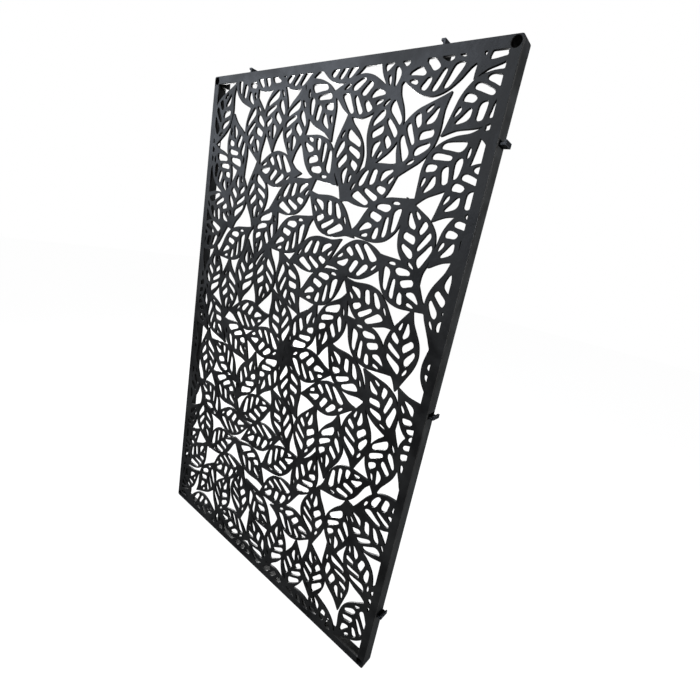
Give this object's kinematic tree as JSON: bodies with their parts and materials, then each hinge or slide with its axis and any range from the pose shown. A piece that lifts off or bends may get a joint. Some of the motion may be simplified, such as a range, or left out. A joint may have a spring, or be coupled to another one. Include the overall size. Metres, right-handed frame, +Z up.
{
  "type": "decorative garden panel",
  "caption": "Rectangular openwork screen panel with a leaf pattern, on a shallow frame with corner bores and edge clips that join it to others.",
  "frame": {"origin": "middle of the bottom edge, halfway between the front face and the open back", "axes": "+X to the right as seen from the front, +Y from the front face to the back, +Z up"},
  "size_m": [0.6395, 0.0254, 1.0095],
  "materials": {
    "screen_plastic": "moulded, satin",
    "rail_plastic": "moulded, satin",
    "socket_plastic": "moulded, satin",
    "clip_plastic": "moulded, satin"
  },
  "bodies": {
    "panel": {"leaf_screen": "screen_plastic", "left_rail": "rail_plastic", "right_rail": "rail_plastic", "top_rail": "rail_plastic", "bottom_rail": "rail_plastic", "socket_top_left": "socket_plastic", "socket_top_right": "socket_plastic", "socket_bottom_left": "socket_plastic", "socket_bottom_right": "socket_plastic"},
    "clip_right_upper": {"clip_right_upper": "clip_plastic"},
    "clip_right_middle": {"clip_right_middle": "clip_plastic"},
    "clip_right_lower": {"clip_right_lower": "clip_plastic"},
    "clip_top_left": {"clip_top_left": "clip_plastic"},
    "clip_top_right": {"clip_top_right": "clip_plastic"}
  },
  "joints": [
    {"name": "clip_right_upper_slide", "type": "slide", "parent": "panel", "child": "clip_right_upper", "axis": [1, 0, 0], "range_m": [0, 0.008]},
    {"name": "clip_right_middle_slide", "type": "slide", "parent": "panel", "child": "clip_right_middle", "axis": [1, 0, 0], "range_m": [0, 0.008]},
    {"name": "clip_right_lower_slide", "type": "slide", "parent": "panel", "child": "clip_right_lower", "axis": [1, 0, 0], "range_m": [0, 0.008]},
    {"name": "clip_top_left_slide", "type": "slide", "parent": "panel", "child": "clip_top_left", "axis": [0, 0, 1], "range_m": [0, 0.008]},
    {"name": "clip_top_right_slide", "type": "slide", "parent": "panel", "child": "clip_top_right", "axis": [0, 0, 1], "range_m": [0, 0.008]}
  ]
}
